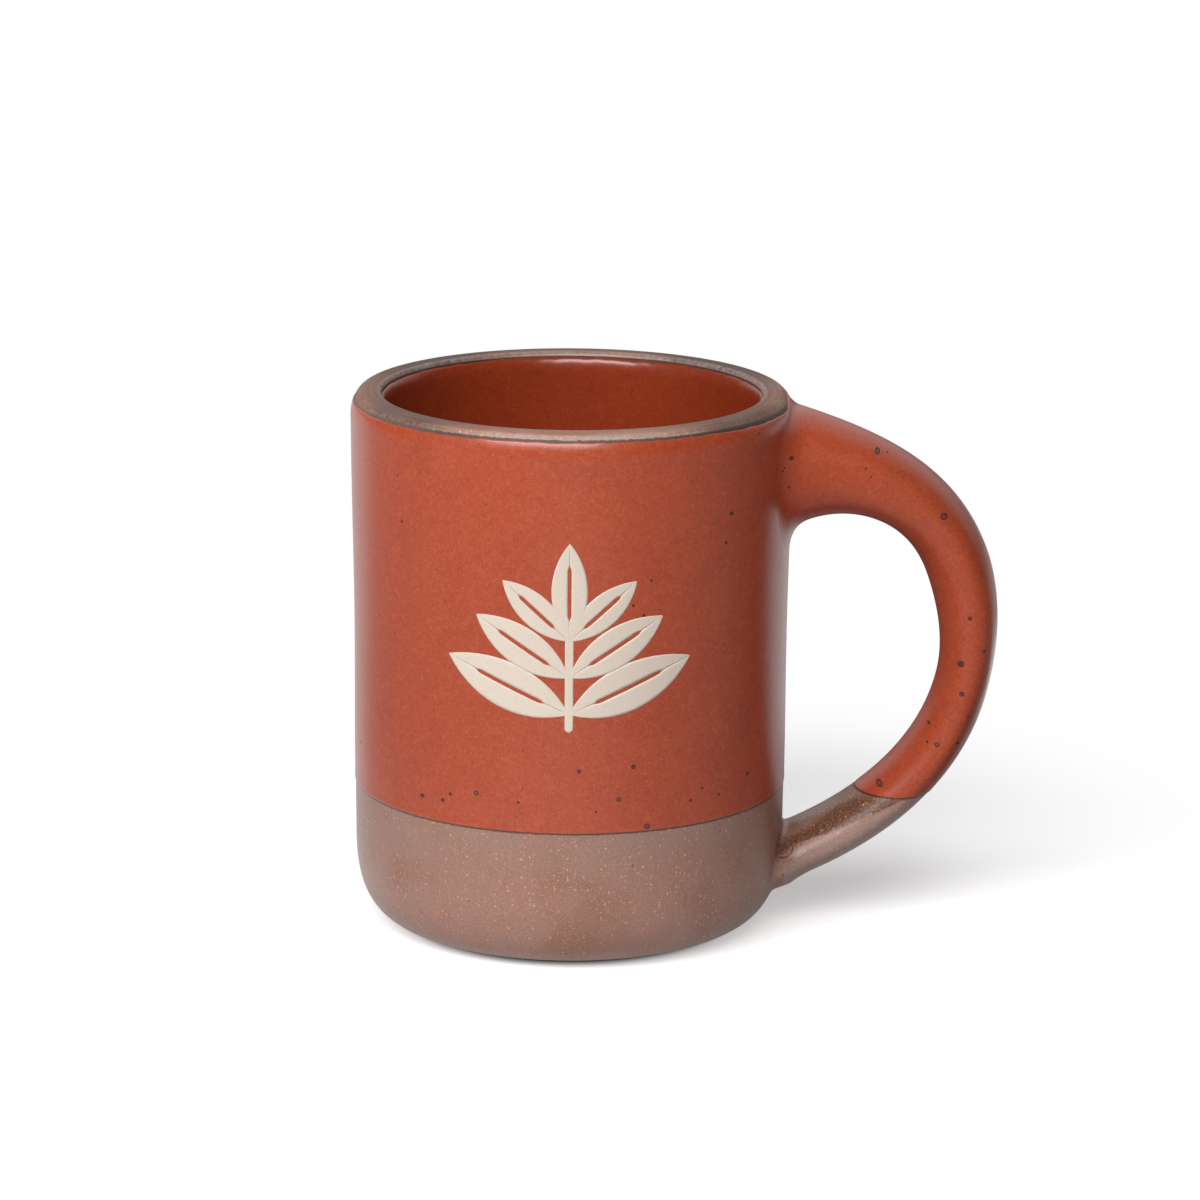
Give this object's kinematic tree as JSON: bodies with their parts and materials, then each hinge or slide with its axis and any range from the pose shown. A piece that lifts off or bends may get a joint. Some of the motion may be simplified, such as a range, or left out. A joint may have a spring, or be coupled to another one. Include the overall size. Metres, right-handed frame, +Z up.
{
  "type": "stoneware mug",
  "caption": "Straight-sided stoneware mug with a large looped strap handle, a glaze that stops short of rim and foot, and a printed leaf sprig.",
  "frame": {"origin": "on the body's axis, at the table, in the middle of the foot ring", "axes": "+Z up along the body's axis, +X out through the handle, -Y out through the printed front"},
  "size_m": [0.1269, 0.086, 0.1065],
  "materials": {
    "clay": "matte",
    "slip": "matte",
    "glaze": "satin",
    "print": "satin"
  },
  "bodies": {
    "root": {"clay_body": "clay", "clay_handle": "clay", "upper_slip_joint": "slip", "lower_slip_joint": "slip", "liner_glaze": "glaze", "body_glaze": "glaze", "handle_glaze": "glaze", "front_print": "print"}
  },
  "joints": []
}
